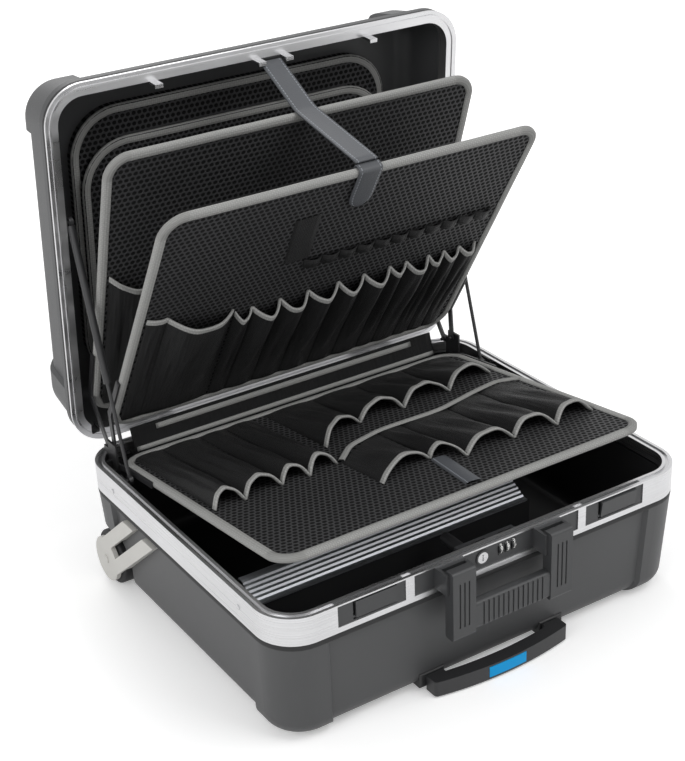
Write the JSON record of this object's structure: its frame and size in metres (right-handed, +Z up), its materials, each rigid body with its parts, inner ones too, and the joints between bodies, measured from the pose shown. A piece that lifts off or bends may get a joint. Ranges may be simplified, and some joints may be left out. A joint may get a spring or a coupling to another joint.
{
  "type": "hard tool case",
  "caption": "Wheeled hard tool case with an aluminium frame, hinged lid, folding tool boards with pockets, latches, lock, carry handle and pull-out trolley grip.",
  "frame": {"origin": "centre of the bounding box in X and Y, on the floor under the feet", "axes": "+X to the case's right as seen from the front, +Y to the hinge side, +Z up; the lid stands open as in the picture"},
  "size_m": [0.5064, 0.5288, 0.5513],
  "materials": {
    "shell": "satin moulded plastic with a fine grain",
    "frame": "brushed, satin",
    "steel": "bright zinc",
    "black_plastic": "satin",
    "dark_plastic": "satin",
    "grey_plastic": "satin",
    "rubber": "matt",
    "blue_plastic": "satin",
    "board": "embossed cell pattern",
    "binding": "woven tape",
    "nylon": "woven nylon",
    "strap": "synthetic leather with stitched edges",
    "dial": "satin"
  },
  "bodies": {
    "case_base": {"base_shell": "shell", "base_frame": "frame", "frame_rivets": "frame", "feet": "rubber", "wheel_brackets": "grey_plastic", "hinge_leaves_base": "frame", "hinge_pins": "steel", "latch_plates": "dark_plastic", "lock_plate": "dark_plastic", "lock_body": "black_plastic", "front_lining": "dark_plastic", "handle_mounts": "dark_plastic", "trolley_guide": "black_plastic", "base_tray": "black_plastic", "front_rail": "frame", "divider_walls": "black_plastic", "board_brackets": "black_plastic", "strut_brackets_base": "steel"},
    "lid": {"lid_shell": "shell", "lid_frame": "frame", "strikers": "steel", "strap_anchor": "steel", "strap": "strap", "lid_pocket_rear": "board", "lid_pocket_front": "board", "hinge_leaves_lid": "frame", "strut_brackets_lid": "steel"},
    "front_board": {"front_board_panel": "board", "front_board_binding": "binding", "front_board_arms": "steel", "front_board_large_pocket": "nylon", "front_board_tool_pockets": "nylon", "front_board_loops": "nylon", "strap_tab": "strap"},
    "middle_board": {"middle_board_panel": "board", "middle_board_binding": "binding", "middle_board_arms": "steel", "middle_board_pocket": "nylon"},
    "base_board": {"base_board_panel": "board", "base_board_binding": "binding", "base_board_arms": "steel", "base_board_rear_pockets": "nylon", "base_board_front_pockets": "nylon", "base_board_tab": "binding"},
    "trolley": {"trolley_tubes": "frame", "trolley_grip": "black_plastic"},
    "strut_cylinder_right": {"strut_cylinder_right": "black_plastic"},
    "strut_cylinder_left": {"strut_cylinder_left": "black_plastic"},
    "strut_rod_right": {"strut_rod_right": "steel"},
    "strut_rod_left": {"strut_rod_left": "steel"},
    "latch_lever_right": {"latch_lever_right": "dark_plastic"},
    "latch_lever_left": {"latch_lever_left": "dark_plastic"},
    "key_cylinder": {"key_cylinder": "steel"},
    "number_dial_1": {"number_dial_1": "dial"},
    "number_dial_2": {"number_dial_2": "dial"},
    "number_dial_3": {"number_dial_3": "dial"},
    "carry_handle": {"carry_handle": "dark_plastic"},
    "push_button": {"push_button": "blue_plastic"},
    "wheel_right": {"wheel_right": "rubber"},
    "wheel_left": {"wheel_left": "rubber"}
  },
  "joints": [
    {"name": "lid_hinge", "type": "hinge", "parent": "case_base", "child": "lid", "pos_m": [0, 0.17444, 0.1365], "axis": [1, 0, 0], "range_deg": [0, 86], "deforming": ["strap"]},
    {"name": "front_board_pivot", "type": "hinge", "parent": "case_base", "child": "front_board", "pos_m": [0, 0.13694, 0.1582], "axis": [1, 0, 0], "range_deg": [0, 58.4]},
    {"name": "middle_board_pivot", "type": "hinge", "parent": "case_base", "child": "middle_board", "pos_m": [0, 0.15224, 0.1514], "axis": [1, 0, 0], "range_deg": [0, 71.5]},
    {"name": "base_board_pivot", "type": "hinge", "parent": "case_base", "child": "base_board", "pos_m": [0, 0.13964, 0.1345], "axis": [1, 0, 0], "range_deg": [0, 7.7]},
    {"name": "stay_pivot_right", "type": "hinge", "parent": "lid", "child": "strut_cylinder_right", "pos_m": [0.2315, 0.16901, 0.40758], "axis": [1, 0, 0], "range_deg": [0, 18.18]},
    {"name": "stay_slide_right", "type": "slide", "parent": "strut_cylinder_right", "child": "strut_rod_right", "axis": [0, 0.2864, 0.9581], "range_m": [0, 0.09102]},
    {"name": "stay_pivot_left", "type": "hinge", "parent": "lid", "child": "strut_cylinder_left", "pos_m": [-0.2315, 0.16901, 0.40758], "axis": [1, 0, 0], "range_deg": [0, 18.18]},
    {"name": "stay_slide_left", "type": "slide", "parent": "strut_cylinder_left", "child": "strut_rod_left", "axis": [0, 0.2864, 0.9581], "range_m": [0, 0.09102]},
    {"name": "latch_left_hinge", "type": "hinge", "parent": "case_base", "child": "latch_lever_left", "pos_m": [-0.143, -0.23771, 0.127], "axis": [1, 0, 0], "range_deg": [0, 85]},
    {"name": "latch_right_hinge", "type": "hinge", "parent": "case_base", "child": "latch_lever_right", "pos_m": [0.153, -0.23771, 0.127], "axis": [1, 0, 0], "range_deg": [-8, 77]},
    {"name": "key_turn", "type": "hinge", "parent": "case_base", "child": "key_cylinder", "pos_m": [-0.019, -0.23636, 0.1345], "axis": [0, 1, 0], "range_deg": [0, 90]},
    {"name": "number_dial_1_turn", "type": "hinge", "parent": "case_base", "child": "number_dial_1", "pos_m": [0.003, -0.23511, 0.136], "axis": [1, 0, 0], "continuous": true},
    {"name": "number_dial_2_turn", "type": "hinge", "parent": "case_base", "child": "number_dial_2", "pos_m": [0.011, -0.23511, 0.136], "axis": [1, 0, 0], "continuous": true},
    {"name": "number_dial_3_turn", "type": "hinge", "parent": "case_base", "child": "number_dial_3", "pos_m": [0.019, -0.23511, 0.136], "axis": [1, 0, 0], "continuous": true},
    {"name": "handle_swing", "type": "hinge", "parent": "case_base", "child": "carry_handle", "pos_m": [0, -0.25536, 0.14], "axis": [-1, 0, 0], "range_deg": [0, 100]},
    {"name": "trolley_slide", "type": "slide", "parent": "case_base", "child": "trolley", "axis": [0, -1, 0], "range_m": [0, 0.3]},
    {"name": "push_button_press", "type": "slide", "parent": "trolley", "child": "push_button", "axis": [0, 1, 0], "range_m": [0, 0.003], "stiffness_N_per_m": 900},
    {"name": "wheel_right_turn", "type": "hinge", "parent": "case_base", "child": "wheel_right", "pos_m": [0.2335, 0.12864, 0.032], "axis": [1, 0, 0], "continuous": true},
    {"name": "wheel_left_turn", "type": "hinge", "parent": "case_base", "child": "wheel_left", "pos_m": [-0.2335, 0.12864, 0.032], "axis": [1, 0, 0], "continuous": true}
  ],
  "couplings": [
    {"joint": "front_board_pivot", "follows": "lid_hinge", "ratio": 0.67907},
    {"joint": "middle_board_pivot", "follows": "lid_hinge", "ratio": 0.8314},
    {"joint": "base_board_pivot", "follows": "lid_hinge", "ratio": 0.089535},
    {"joint": "stay_pivot_right", "follows": "lid_hinge", "ratio": 0.21137},
    {"joint": "stay_slide_right", "follows": "lid_hinge", "m_per_rad": 0.060639},
    {"joint": "stay_pivot_left", "follows": "lid_hinge", "ratio": 0.21137},
    {"joint": "stay_slide_left", "follows": "lid_hinge", "m_per_rad": 0.060639}
  ]
}
